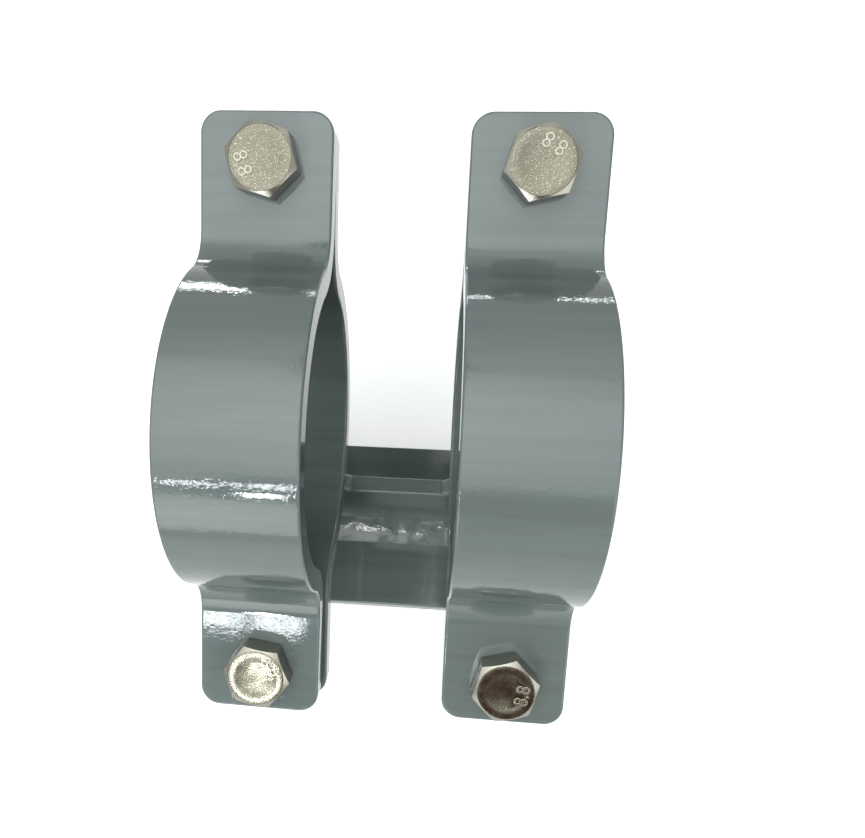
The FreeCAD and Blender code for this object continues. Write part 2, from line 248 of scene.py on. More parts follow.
def pick_faces(obj, test):
    """In edit mode, select the faces that pass a test."""
    bpy.ops.mesh.select_mode(type="FACE")
    bpy.ops.mesh.select_all(action="DESELECT")
    mesh = bmesh.from_edit_mesh(obj.data)
    for face in mesh.faces:
        face.select_set(test(face))
    bmesh.update_edit_mesh(obj.data)


def pick_edges(obj, test):
    """In edit mode, select the edges that pass a test."""
    bpy.ops.mesh.select_mode(type="EDGE")
    bpy.ops.mesh.select_all(action="DESELECT")
    mesh = bmesh.from_edit_mesh(obj.data)
    for edge in mesh.edges:
        edge.select_set(test(edge))
    bmesh.update_edit_mesh(obj.data)


def bevel_edges(obj, test, width, segments):
    """Round the edges that pass a test."""
    edit(obj)
    pick_edges(obj, test)
    bpy.ops.mesh.bevel(offset=width * MM, segments=segments, affect="EDGES")
    leave_edit()


def copy_of(obj, name):
    """A copy of a finished piece, with a mesh of its own."""
    choose(obj)
    bpy.ops.object.duplicate(linked=False)
    copy = bpy.context.object
    copy.name = name
    return copy


def place(obj, matrix):
    """Put a piece at its place, and leave that place in its mesh."""
    obj.matrix_world = matrix
    choose(obj)
    bpy.ops.object.transform_apply(location=True, rotation=True, scale=True)


def smooth(obj, angle):
    choose(obj)
    bpy.ops.object.shade_smooth_by_angle(angle=math.radians(angle))


# Camera

def add_camera():
    data = bpy.data.cameras.new("photo_camera")
    data.sensor_width = SENSOR_WIDTH
    data.lens = FOCAL_PIXELS / PHOTO_WIDTH * SENSOR_WIDTH
    data.shift_x = (PHOTO_WIDTH / 2 - OPTICAL_CENTRE[0]) / PHOTO_WIDTH
    data.shift_y = (OPTICAL_CENTRE[1] - PHOTO_HEIGHT / 2) / PHOTO_WIDTH
    data.clip_start = 0.01
    camera = bpy.data.objects.new("photo_camera", data)
    camera.location = [value * MM for value in CAMERA_PLACE]
    camera.rotation_euler = [math.radians(value) for value in CAMERA_TURN]
    bpy.context.scene.collection.objects.link(camera)
    bpy.context.scene.camera = camera


# Materials

def linear(code):
    """An sRGB hex colour as linear red, green, blue and alpha."""
    channels = [int(code[i:i + 2], 16) / 255 for i in (1, 3, 5)]
    return [c / 12.92 if c <= 0.04045 else ((c + 0.055) / 1.055) ** 2.4 for c in channels] + [1]


def per_metre(width):
    """A pattern's scale, from the width of its marks in millimetres."""
    return 1 / (width * MM)


def add_node(tree, kind, settings=None, values=None, links=None):
    """Add a node. Settings are its own properties, values are its sockets' and links feed its sockets."""
    node = tree.nodes.new(kind)
    for name, value in (settings or {}).items():
        setattr(node, name, value)
    for socket, value in (values or {}).items():
        node.inputs[socket].default_value = value
    for socket, source in (links or {}).items():
        tree.links.new(source, node.inputs[socket])
    return node


def new_material(name):
    material = bpy.data.materials.new(name)
    material.use_nodes = True
    material.node_tree.nodes.clear()
    return material, material.node_tree


def share_of_relief(tree, place_on_piece, flat_share):
    """1 on the bent part of a strap, and this share on its ears, which lie further from the pipe's axis."""
    from_axis = add_node(
        tree, "ShaderNodeMapping", values={"Location": (0, 0, -AXIS_HEIGHT * MM), "Scale": (0, 1, 1)},
        links={"Vector": place_on_piece},
    ).outputs["Vector"]
    radius = add_node(
        tree, "ShaderNodeVectorMath", settings={"operation": "LENGTH"}, links={0: from_axis}
    ).outputs["Value"]
    return add_node(
        tree, "ShaderNodeMapRange",
        values={
            "From Min": EAR_RADIUS * MM, "From Max": RING_RADIUS * MM, "To Min": flat_share, "To Max": 1.0
        },
        links={"Value": radius},
    ).outputs["Result"]


def grey_gloss_enamel(name, peel_depth, ridge_depth, sag_depth, flat_share=1.0):
    """Alkyd gloss enamel, sprayed thick on flat bar.

    To the eye it is a cool mid grey, wet and nearly even, with an orange peel that breaks up reflections, and
    faint streaks and long low ridges across the bar, where the paint has flowed. On the bent part of a strap
    it is wavier than on the ears, which keep the flat share of ridges and peel. The fine peel is drawn
    coarser than it is, because it wouldn't show in the render otherwise.
    """
    material, tree = new_material(name)
    place_on_piece = add_node(tree, "ShaderNodeTexCoord").outputs["Object"]
    along_pipe = add_node(
        tree, "ShaderNodeMapping", values={"Scale": (MARK_STRETCH, 1, 1)}, links={"Vector": place_on_piece}
    ).outputs["Vector"]
    share = share_of_relief(tree, place_on_piece, flat_share)

    marks = {}
    for mark, coordinates, width, detail, roughness in (
        ("streaks", along_pipe, STREAK_WIDTH, 4, 0.6),
        ("ridges", along_pipe, RIDGE_WIDTH, 3, 0.5),
        ("sags", place_on_piece, SAG_WIDTH, 2, 0.5),
        ("peel", place_on_piece, PEEL_WIDTH, 2, 0.5),
        ("peel_patches", place_on_piece, PEEL_PATCH_WIDTH, 2, 0.5),
        ("fine_peel", place_on_piece, FINE_PEEL_WIDTH, 2, 0.5),
        ("sheen", place_on_piece, SHEEN_PATCH_WIDTH, 2, 0.5),
    ):
        marks[mark] = add_node(
            tree, "ShaderNodeTexNoise",
            values={"Scale": per_metre(width), "Detail": detail, "Roughness": roughness},
            links={"Vector": coordinates},
        ).outputs["Fac"]
    for mark, (low, high) in (
        ("streaks", (0.0, 1.0)), ("peel_patches", PEEL_PATCH_STRENGTH), ("sheen", ENAMEL_ROUGHNESS)
    ):
        marks[mark] = add_node(
            tree, "ShaderNodeMapRange", values={**NOISE_SPAN, "To Min": low, "To Max": high},
            links={"Value": marks[mark]},
        ).outputs["Result"]
    for mark, factor in (("ridges", share), ("peel", share), ("fine_peel", marks["peel_patches"])):
        marks[mark] = add_node(
            tree, "ShaderNodeMath", settings={"operation": "MULTIPLY"}, links={0: marks[mark], 1: factor}
        ).outputs["Value"]

    # Each kind of relief lies on the one before it
    normal = {}
    for mark, depth in (
        ("sags", sag_depth), ("ridges", ridge_depth), ("peel", peel_depth), ("fine_peel", FINE_PEEL_DEPTH)
    ):
        relief = add_node(
            tree, "ShaderNodeBump", values={"Strength": 1.0, "Distance": depth * MM},
            links={"Height": marks[mark], **normal},
        )
        normal = {"Normal": relief.outputs["Normal"]}

    colour = add_node(
        tree, "ShaderNodeMix", settings={"data_type": "RGBA"},
        values={"A": linear(ENAMEL_DARK), "B": linear(ENAMEL_PALE)}, links={"Factor": marks["streaks"]},
    ).outputs["Result"]
    shader = add_node(
        tree, "ShaderNodeBsdfPrincipled", values={"IOR": 1.5},
        links={"Base Color": colour, "Roughness": marks["sheen"], **normal},
    )
    add_node(tree, "ShaderNodeOutputMaterial", links={"Surface": shader.outputs["BSDF"]})
    return material


def zinc_plating(name, pale, dull, least_roughness, most_roughness, grain_depth):
    """Bright zinc plating, passivated, on a forged and rolled steel fastener.

    To the eye it is a metal with a faint yellow cast. Where the steel was forged the plating follows its
    grain and glitters in small specks: a painted glint, a paler colour on the grain's highest tips. The
    grain is drawn coarser than it is, because it wouldn't show in the render otherwise.
    """
    material, tree = new_material(name)
    place_on_piece = add_node(tree, "ShaderNodeTexCoord").outputs["Object"]
    marks = {}
    for mark, width, detail, roughness in (
        ("patches", PLATING_PATCH_WIDTH, 4, 0.5), ("pits", PIT_WIDTH, 2, 0.5), ("grain", GRAIN_WIDTH, 2, 0.6)
    ):
        marks[mark] = add_node(
            tree, "ShaderNodeTexNoise",
            values={"Scale": per_metre(width), "Detail": detail, "Roughness": roughness},
            links={"Vector": place_on_piece},
        ).outputs["Fac"]
    sheen = add_node(
        tree, "ShaderNodeMapRange",
        values={**NOISE_SPAN, "To Min": least_roughness, "To Max": most_roughness},
        links={"Value": marks["patches"]},
    ).outputs["Result"]
    # Pale specks on the grain's highest tips: painted glints
    specks = add_node(
        tree, "ShaderNodeMapRange", values={"From Min": PAINTED_GLINT_HEIGHTS[0], "From Max": PAINTED_GLINT_HEIGHTS[1]},
        links={"Value": marks["grain"]},
    ).outputs["Result"]
    colour = add_node(
        tree, "ShaderNodeMix", settings={"data_type": "RGBA"},
        values={"A": linear(dull), "B": linear(pale)}, links={"Factor": specks},
    ).outputs["Result"]
    normal = {}
    for mark, depth in (("pits", 2 * grain_depth), ("grain", grain_depth)):
        relief = add_node(
            tree, "ShaderNodeBump", values={"Strength": 1.0, "Distance": depth * MM},
            links={"Height": marks[mark], **normal},
        )
        normal = {"Normal": relief.outputs["Normal"]}
    shader = add_node(
        tree, "ShaderNodeBsdfPrincipled", values={"Metallic": 1.0},
        links={"Base Color": colour, "Roughness": sheen, **normal},
    )
    add_node(tree, "ShaderNodeOutputMaterial", links={"Surface": shader.outputs["BSDF"]})
    return material


# Bolts and nuts, modelled once about the Z axis with the head's or nut's seat at z = 0

def is_at_height(edge, z):
    return all(abs(vertex.co.z - z * MM) < TOLERANCE * MM for vertex in edge.verts)


def hexagon(name, bottom, top, crowned_ends):
    """A hexagon with two flats square to X and soft corners, chamfered to a round crown at the named ends."""
    def is_upright(edge):
        return abs(edge.verts[0].co.z - edge.verts[1].co.z) > MM

    blank = cylinder(name, 6, HEXAGON_FLATS / math.sqrt(3), bottom, top)
    bevel_edges(blank, is_upright, width=EDGE_SOFTNESS, segments=3)
    wide = CROWN_RADIUS + (top - bottom) / math.tan(math.radians(CHAMFER_ANGLE))
    for end in crowned_ends:
        low_radius, high_radius = (wide, CROWN_RADIUS) if end == "top" else (CROWN_RADIUS, wide)
        rim = top if end == "top" else bottom
        crown = cone("crown", low_radius, high_radius, bottom, top)
        bevel_edges(crown, lambda edge: is_at_height(edge, rim), width=EDGE_SOFTNESS, segments=3)
        carve(blank, "INTERSECT", crown)
    return blank


def punch_ring(head):
    """The shallow round step that the forging die leaves on top of a head."""
    def is_top(face):
        return face.normal.z > LEVEL and face.calc_center_median().z > (HEAD_HEIGHT - TOLERANCE) * MM

    edit(head)
    pick_faces(head, is_top)
    bpy.ops.mesh.inset(thickness=(CROWN_RADIUS - EDGE_SOFTNESS - PUNCH_RING_RADIUS) * MM)
    bpy.ops.mesh.inset(thickness=PUNCH_RING_WIDTH * MM, depth=-PUNCH_DEPTH * MM)
    leave_edit()


def draw_chain(name, points):
    """A chain of edges from point to point, drawn by extruding one vertex."""
    bpy.ops.object.select_all(action="DESELECT")
    bpy.ops.mesh.primitive_plane_add(size=MM, location=[value * MM for value in points[0]])
    chain = finish_primitive(name)
    edit(chain)
    bpy.ops.mesh.select_mode(type="VERT")
    bpy.ops.mesh.select_all(action="SELECT")
    bpy.ops.mesh.merge(type="CENTER")
    for before, after in zip(points, points[1:]):
        step = [(b - a) * MM for a, b in zip(before, after)]
        bpy.ops.mesh.extrude_vertices_move(TRANSFORM_OT_translate={"value": step})
    leave_edit()
    return chain


def cut_off(obj, z, keep_above):
    """Cut a piece level at a height and close the cut."""
    edit(obj)
    bpy.ops.mesh.select_all(action="SELECT")
    bpy.ops.mesh.bisect(
        plane_co=(0, 0, z * MM), plane_no=(0, 0, 1), use_fill=True, clear_inner=keep_above,
        clear_outer=not keep_above, threshold=TOLERANCE / 10 * MM
    )
    leave_edit()


def thread():
    """A right-hand thread from the bolt's chamfered end to just inside its head."""
    flank = (THREAD_RADIUS - THREAD_ROOT_RADIUS) * math.tan(math.radians(FLANK_ANGLE))
    start = -BOLT_LENGTH - 2 * THREAD_PITCH
    turns = math.ceil(-start / THREAD_PITCH) + 2
    rod = draw_chain("thread", [
        (THREAD_RADIUS, 0, start),
        (THREAD_RADIUS, 0, start + THREAD_CREST),
        (THREAD_ROOT_RADIUS, 0, start + THREAD_CREST + flank),
        (THREAD_ROOT_RADIUS, 0, start + THREAD_PITCH - flank),
        (THREAD_RADIUS, 0, start + THREAD_PITCH),
    ])
    modify(
        rod, "SCREW", axis="Z", angle=math.tau, screw_offset=THREAD_PITCH * MM, iterations=turns,
        steps=THREAD_STEPS, render_steps=THREAD_STEPS
    )
    edit(rod)
    bpy.ops.mesh.select_all(action="SELECT")
    bpy.ops.mesh.remove_doubles(threshold=TOLERANCE * MM)
    leave_edit()
    cut_off(rod, -BOLT_LENGTH, keep_above=True)
    cut_off(rod, WASHER_FACE_HEIGHT, keep_above=False)
    edit(rod)
    bpy.ops.mesh.select_all(action="SELECT")
    bpy.ops.mesh.normals_make_consistent(inside=False)
    leave_edit()

    # A cone that widens by 45 degrees from the end leaves the end's chamfer
    end_radius = THREAD_RADIUS - BOLT_END_CHAMFER
    above = 2 * HEAD_HEIGHT
    carve(rod, "INTERSECT", cone("end", end_radius, end_radius + BOLT_LENGTH + above, -BOLT_LENGTH, above))
    return rod


def class_mark():
    """The raised figures, lying on the head's top with their feet towards its rim.

    They are written in the font's own units and then brought to their size.
    """
    bpy.ops.object.select_all(action="DESELECT")
    bpy.ops.object.text_add()
    mark = bpy.context.object
    mark.data.body = CLASS_MARK
    mark.data.align_x = "CENTER"
    mark.data.extrude = FIGURE_BODY
    mark.data.bevel_depth = FIGURE_ROUNDING
    mark.data.bevel_resolution = 2
    mark.data.offset = -FIGURE_THINNING
    choose(mark)
    bpy.ops.object.convert(target="MESH")
    mark = bpy.context.object
    edit(mark)
    bpy.ops.mesh.select_all(action="SELECT")
    bpy.ops.mesh.remove_doubles(threshold=FIGURE_TOLERANCE)
    leave_edit()
    low = Vector(map(min, *[v.co for v in mark.data.vertices]))
    high = Vector(map(max, *[v.co for v in mark.data.vertices]))
    middle = (low + high) / 2
    size = high - low
    thickness = MARK_RISE + MARK_SINK
    shrink = Matrix.Diagonal((MARK_WIDTH / size.x, MARK_HEIGHT / size.y, thickness / size.z, 1))
    lift = HEAD_HEIGHT - PUNCH_DEPTH + MARK_RISE - thickness / 2
    put = Matrix.Translation((0, MARK_CENTRE_RADIUS, lift)) @ Matrix.Rotation(math.pi, 4, "Z")
    place(mark, Matrix.Scale(MM, 4) @ put @ shrink @ Matrix.Translation(-middle))
    return mark


def hexagon_bolt():
    bolt = hexagon("bolt", WASHER_FACE_HEIGHT, HEAD_HEIGHT, ["top"])
    punch_ring(bolt)
    overlap = 1
    collar = cylinder("collar", RING_SIDES, WASHER_FACE_RADIUS, 0, WASHER_FACE_HEIGHT + overlap)
    bevel_edges(collar, lambda edge: is_at_height(edge, 0), width=EDGE_SOFTNESS / 2, segments=2)
    carve(bolt, "UNION", collar)
    carve(bolt, "UNION", thread())
    return bolt


def hexagon_nut():
    """A nut with a plain bore, which the bolt's thread fills, and a wide mouth at both ends."""
    nut = hexagon("nut", -NUT_HEIGHT, 0, ["top", "bottom"])
    bore = cylinder("bore", RING_SIDES, NUT_BORE_RADIUS, NUT_MOUTH_DEPTH - NUT_HEIGHT, -NUT_MOUTH_DEPTH)
    wider = (NUT_BORE_RADIUS + NUT_MOUTH_DEPTH) / NUT_BORE_RADIUS
    edit(bore)
    for end in (1, -1):
        pick_faces(bore, lambda face: face.normal.z * end > LEVEL)
        step = (0, 0, end * NUT_MOUTH_DEPTH * MM)
        bpy.ops.mesh.extrude_region_move(TRANSFORM_OT_translate={"value": step})
        bpy.ops.transform.resize(value=(wider, wider, 1))
        bpy.ops.mesh.extrude_region_move(TRANSFORM_OT_translate={"value": step})
    leave_edit()
    carve(nut, "DIFFERENCE", bore)
    return nut


def largest_plane(node, across=None):
    """The normal and centre of a node's largest flat face, or of its largest one that is square to a line."""
    planes = {}
    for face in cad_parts[node].data.polygons:
        if across is None or abs(face.normal.dot(across)) < TOLERANCE:
            key = (*(round(value, 3) for value in face.normal), round(face.center.dot(face.normal) / MM, 1))
            area, normals, moment = planes.get(key, (0, Vector(), Vector()))
            planes[key] = (
                area + face.area, normals + face.area * face.normal, moment + face.area * face.center
            )
    area, normals, moment = max(planes.values(), key=lambda plane: plane[0])
    return normals.normalized(), moment / area


def upright(axis, flat, origin):
    """A placement with Z along an axis and X along a flat's normal."""
    x_axis = (flat - axis * flat.dot(axis)).normalized()
    y_axis = axis.cross(x_axis)
    turn = Matrix((x_axis, y_axis, axis)).transposed().to_4x4()
    return Matrix.Translation(origin) @ turn


def build_bolt(corner, bolt_model, mark_model, bolt_place, plating, head_face, figures):
    """One bolt with its figures, which stand on the Y axis of the mark's model."""
    pipe = bolt_place.inverted().to_3x3() @ Vector((1, 0, 0))
    pipe_angle = math.degrees(math.atan2(pipe.y, pipe.x))
    turn = Matrix.Rotation(math.radians(pipe_angle + MARK_ANGLES[corner] - 90), 4, "Z")
    mark = copy_of(mark_model, "mark")
    place(mark, turn)
    bolt = copy_of(bolt_model, f"{corner}_hexagon_bolt")
    carve(bolt, "UNION", mark)
    bolt.data.materials.clear()
    for material in (plating, head_face, figures):
        bolt.data.materials.append(material)
    for face in bolt.data.polygons:
        is_forged = face.center.z > (HEAD_HEIGHT - PUNCH_DEPTH - FORGED_FACE_MARGIN) * MM
        is_figure = face.center.z > (HEAD_HEIGHT + FIGURE_MARGIN) * MM
        face.material_index = is_forged + is_figure
    smooth(bolt, SMOOTH_ANGLE)
    place(bolt, bolt_place)
    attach(bolt, "root")
    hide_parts(f"{corner}_bolt")


def build_nut(corner, nut_model, nut_place, plating):
    nut = copy_of(nut_model, f"{corner}_hexagon_nut")
    nut.data.materials.clear()
    nut.data.materials.append(plating)
    smooth(nut, SMOOTH_ANGLE)
    place(nut, nut_place)
    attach(nut, "root")
    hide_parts(f"{corner}_nut")


def build_fasteners(plating, head_face, figures):
    """Four bolts and four nuts, each as the frame's own node stands."""
    bolt_model = hexagon_bolt()
    mark_model = class_mark()
    nut_model = hexagon_nut()
    for corner in MARK_ANGLES:
        axis, top = largest_plane(f"{corner}_bolt")
        flat, _ = largest_plane(f"{corner}_bolt", across=axis)
        seat = top - axis * HEAD_HEIGHT * MM
        build_bolt(corner, bolt_model, mark_model, upright(axis, flat, seat), plating, head_face, figures)

        corners = [vertex.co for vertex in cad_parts[f"{corner}_nut"].data.vertices]
        rise = max((point - seat).dot(axis) for point in corners)
        nut_flat, _ = largest_plane(f"{corner}_nut", across=axis)
        build_nut(corner, nut_model, upright(axis, nut_flat, seat + axis * rise), plating)
    for model in (bolt_model, mark_model, nut_model):
        bpy.data.objects.remove(model)


# Welds

def weld(name, length, floor_toe, wall_toe, ripple_height, lump_height, seed):
    """A bead along X with its root on the X axis.

    The toes are points (y, z) of its section, which is sunk a little into the steel.
    """
    root = (0, 0)
    middle = [(root[i] + floor_toe[i] + wall_toe[i]) / 3 for i in range(2)]
    grow = 1 + 4 * WELD_SINK / math.dist(floor_toe, wall_toe)
    floor_end, wall_end, corner = [
        [middle[i] + (point[i] - middle[i]) * grow for i in range(2)] for point in (floor_toe, wall_toe, root)
    ]

    # The face's arc, from the toe on the floor to the one on the wall
    chord = math.dist(floor_end, wall_end)
    radius = (chord ** 2 / 4 + WELD_CROWN ** 2) / (2 * WELD_CROWN)
    along = [(wall_end[i] - floor_end[i]) / chord for i in range(2)]
    outward = (along[1], -along[0])
    centre = [(floor_end[i] + wall_end[i]) / 2 + outward[i] * (WELD_CROWN - radius) for i in range(2)]
    half_angle = math.asin(chord / 2 / radius)

    # The section, and the bead's straight part in slices
    end_length = sum(step for step, _ in WELD_END_STEPS)
    body_length = length - 2 * end_length
    start = -length / 2 + end_length
    bead = draw_chain(name, [(start, *floor_end)])
    edit(bead)
    bpy.ops.mesh.select_all(action="SELECT")
    bpy.ops.mesh.spin(
        steps=WELD_FACE_STEPS, angle=-2 * half_angle, center=[value * MM for value in (start, *centre)],
        axis=(1, 0, 0)
    )
    step = (0, (corner[0] - wall_end[0]) * MM, (corner[1] - wall_end[1]) * MM)
    bpy.ops.mesh.extrude_vertices_move(TRANSFORM_OT_translate={"value": step})
    bpy.ops.mesh.select_all(action="SELECT")
    bpy.ops.mesh.edge_face_add()
    bpy.ops.mesh.extrude_region_move(TRANSFORM_OT_translate={"value": (body_length * MM, 0, 0)})
    pick_edges(bead, lambda edge: abs(edge.verts[0].co.x - edge.verts[1].co.x) > body_length / 2 * MM)
    bpy.ops.mesh.subdivide(number_cuts=round(body_length / WELD_SLICE))

    # Its rounded ends, which shrink towards the corner
    pivot = [value * MM for value in (0, *corner)]
    middle_x = (start + body_length / 2) * MM
    for end in (1, -1):
        end_x = middle_x + end * body_length / 2 * MM
        pick_faces(bead, lambda face: abs(face.calc_center_median().x - end_x) < TOLERANCE * MM)
        for step, share in WELD_END_STEPS:
            bpy.ops.mesh.extrude_region_move(TRANSFORM_OT_translate={"value": (end * step * MM, 0, 0)})
            bpy.ops.transform.resize(value=(1, share, share), center_override=pivot)
    bpy.ops.mesh.select_all(action="SELECT")
    bpy.ops.mesh.normals_make_consistent(inside=False)
    leave_edit()
    map_ripples(bead, floor_end, along, chord)
    roughen(bead, ripple_height, lump_height, seed)
    smooth(bead, WELD_SMOOTH_ANGLE)
    return bead


def map_ripples(bead, floor_end, along, chord):
    """A map on the bead whose first direction counts its ripples, which bow towards its end."""
    layer = bead.data.uv_layers.new(name="ripples")
    for loop in bead.data.loops:
        point = bead.data.vertices[loop.vertex_index].co / MM
        share = ((point.y - floor_end[0]) * along[0] + (point.z - floor_end[1]) * along[1]) / chord * 2 - 1
        count = (point.x + RIPPLE_BOW * chord / 4 * share ** 2) / RIPPLE_PITCH
        layer.data[loop.index].uv = (count, share)


def roughen(bead, ripple_height, lump_height, seed):
    """Ripples from the map, and lumps from the place on the bead and its seed."""
    ripples = bpy.data.textures.new("ripples", "WOOD")
    ripples.wood_type = "BANDNOISE"
    ripples.noise_basis_2 = "SIN"
    ripples.noise_scale = RIPPLE_TEXTURE_SCALE
    ripples.turbulence = RIPPLE_WANDER
    modify(bead, "DISPLACE", texture=ripples, texture_coords="UV", uv_layer="ripples",
           strength=ripple_height * MM, mid_level=0.5)
    lumps = bpy.data.textures.new("lumps", "CLOUDS")
    lumps.noise_scale = LUMP_WIDTH * MM
    lumps.noise_depth = 1
    lump_place = bpy.data.objects.new("lump_place", None)
    lump_place.location = [seed * step for step in LUMP_STEPS]
    bpy.context.scene.collection.objects.link(lump_place)
    bpy.context.view_layer.update()
    modify(bead, "DISPLACE", texture=lumps, texture_coords="OBJECT", texture_coords_object=lump_place,
           strength=lump_height * MM, mid_level=0.5)
    bpy.data.objects.remove(lump_place)


def finish_weld(bead, node, matrix, enamel):
    """Paint a bead and put it in place of the frame's plain one."""
    bead.data.materials.append(enamel)
    place(bead, matrix)
    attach(bead, "root")
    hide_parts(node)


def build_web_welds(enamel):
    """The beads along the web's front and back: on the base plate and under both rings."""
    web_low, web_high = (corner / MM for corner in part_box("web_plate"))
    base_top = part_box("base_plate")[1].z / MM
    half_turn = Matrix.Rotation(math.pi, 4, "Z")
    seams = [(seam, side) for seam in ("web", "left_saddle", "right_saddle") for side in ("front", "back")]
    for seed, (seam, side) in enumerate(seams, start=1):
        low, high = (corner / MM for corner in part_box(f"{seam}_{side}_weld"))
        wall, toe = (web_low.y, low.y) if side == "front" else (web_high.y, high.y)
        if seam == "web":
            root_height, floor_rise, wall_leg = base_top, 0, high.z - base_top
            ripple_share, lump_share = WEB_BEAD_RELIEF
        else:
            root_height, floor_rise, wall_leg = web_high.z, high.z - web_high.z, low.z - web_high.z
            ripple_share, lump_share = SADDLE_BEAD_RELIEF
        bead = weld(
            f"{seam}_{side}_bead", high.x - low.x, (abs(toe - wall), floor_rise), (0, wall_leg),
            RIPPLE_HEIGHT * ripple_share, LUMP_HEIGHT * lump_share, seed
        )
        matrix = Matrix.Translation(Vector(((low.x + high.x) / 2, wall, root_height)) * MM)
        if side == "front":
            matrix = matrix @ half_turn
        finish_weld(bead, f"{seam}_{side}_weld", matrix, enamel)


def build_end_welds(enamel):
    """The small beads beside the rings, on top of the web. Outwards is the way along X from the ring."""
    ripple_share, lump_share = END_BEAD_RELIEF
    for seed, side, outwards in ((7, "left", 1), (8, "right", -1)):
        low, high = (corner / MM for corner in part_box(f"{side}_end_weld"))
        wall = low.x if side == "left" else high.x
        bead = weld(
            f"{side}_end_bead", high.y - low.y, (high.x - low.x, 0), (0, high.z - low.z),
            RIPPLE_HEIGHT * ripple_share, LUMP_HEIGHT * lump_share, seed
        )
        quarter_turn = Matrix.Rotation(math.radians(-90 * outwards), 4, "Z")
        matrix = Matrix.Translation(Vector((wall, (low.y + high.y) / 2, low.z)) * MM) @ quarter_turn
        finish_weld(bead, f"{side}_end_weld", matrix, enamel)


# Floor, room, lamps and cards. Their sizes and distances are in metres.

def seen_rays(tree):
    """1 for what the camera sees directly, mirrored or through glass, and 0 for light on matt surfaces."""
    path = add_node(tree, "ShaderNodeLightPath")
    seen = path.outputs["Is Camera Ray"]
    for kind in ("Is Glossy Ray", "Is Transmission Ray"):
        seen = add_node(
            tree, "ShaderNodeMath", settings={"operation": "MAXIMUM"}, links={0: seen, 1: path.outputs[kind]}
        ).outputs["Value"]
    return seen


def pale_floor():
    """Matt board.

    To the eye it is white round the object, where it takes the object's shadow, and fades to the plain colour
    of the room far from it. The light that it throws back on the object is that of a grey board.
    """
    material, tree = new_material("matt_white_board")
    place_on_floor = add_node(tree, "ShaderNodeTexCoord").outputs["Object"]
    seen = seen_rays(tree)
    distance = add_node(
        tree, "ShaderNodeVectorMath", settings={"operation": "LENGTH"}, links={0: place_on_floor}
    ).outputs["Value"]
    near = add_node(
        tree, "ShaderNodeMapRange", settings={"interpolation_type": "SMOOTHSTEP"},
        values={"From Min": WHITE_FLOOR_RADIUS, "From Max": ROOM_FLOOR_RADIUS, "To Min": 1.0, "To Max": 0.0},
        links={"Value": distance},
    ).outputs["Result"]

    # The board's own colour, and its grain
    seen_colour = add_node(
        tree, "ShaderNodeMix", settings={"data_type": "RGBA"},
        values={"A": linear("#000000"), "B": linear("#ffffff")}, links={"Factor": near},
    ).outputs["Result"]
    colour = add_node(
        tree, "ShaderNodeMix", settings={"data_type": "RGBA"}, values={"A": linear(BOARD_GREY)},
        links={"B": seen_colour, "Factor": seen},
    ).outputs["Result"]
    grain = add_node(
        tree, "ShaderNodeTexNoise", values={"Scale": per_metre(BOARD_GRAIN_WIDTH), "Detail": 3},
        links={"Vector": place_on_floor},
    ).outputs["Fac"]
    normal = add_node(
        tree, "ShaderNodeBump", values={"Strength": 1.0, "Distance": BOARD_GRAIN_DEPTH * MM},
        links={"Height": grain},
    ).outputs["Normal"]
    board = add_node(
        tree, "ShaderNodeBsdfDiffuse", links={"Color": colour, "Normal": normal}
    ).outputs["BSDF"]

    # The room's colour, in full far off and a part of it near the object
    lift = add_node(
        tree, "ShaderNodeMapRange", values={"To Min": 1.0, "To Max": NEAR_GLOW}, links={"Value": near}
    ).outputs["Result"]
    seen_lift = add_node(
        tree, "ShaderNodeMath", settings={"operation": "MULTIPLY"}, links={0: seen, 1: lift}
    ).outputs["Value"]
    glow = add_node(
        tree, "ShaderNodeEmission", values={"Color": linear(ROOM_WHITE)}, links={"Strength": seen_lift}
    ).outputs["Emission"]
    shader = add_node(tree, "ShaderNodeAddShader", links={0: board, 1: glow})
    add_node(tree, "ShaderNodeOutputMaterial", links={"Surface": shader.outputs["Shader"]})
    return material


def add_floor():
    bpy.ops.object.select_all(action="DESELECT")
    bpy.ops.mesh.primitive_plane_add(size=FLOOR_SIZE, location=(0, 0, 0))
    floor = finish_primitive("floor")
    floor.data.materials.append(pale_floor())


def add_room():
    world = bpy.data.worlds.new("pale_room")
    world.use_nodes = True
    bpy.context.scene.world = world
    tree = world.node_tree
    tree.nodes.clear()
    strength = add_node(
        tree, "ShaderNodeMapRange", values={"To Min": ROOM_LIGHT, "To Max": 1.0},
        links={"Value": seen_rays(tree)},
    ).outputs["Result"]
    background = add_node(
        tree, "ShaderNodeBackground", values={"Color": linear(ROOM_WHITE)}, links={"Strength": strength}
    )
    add_node(tree, "ShaderNodeOutputWorld", links={"Surface": background.outputs["Background"]})


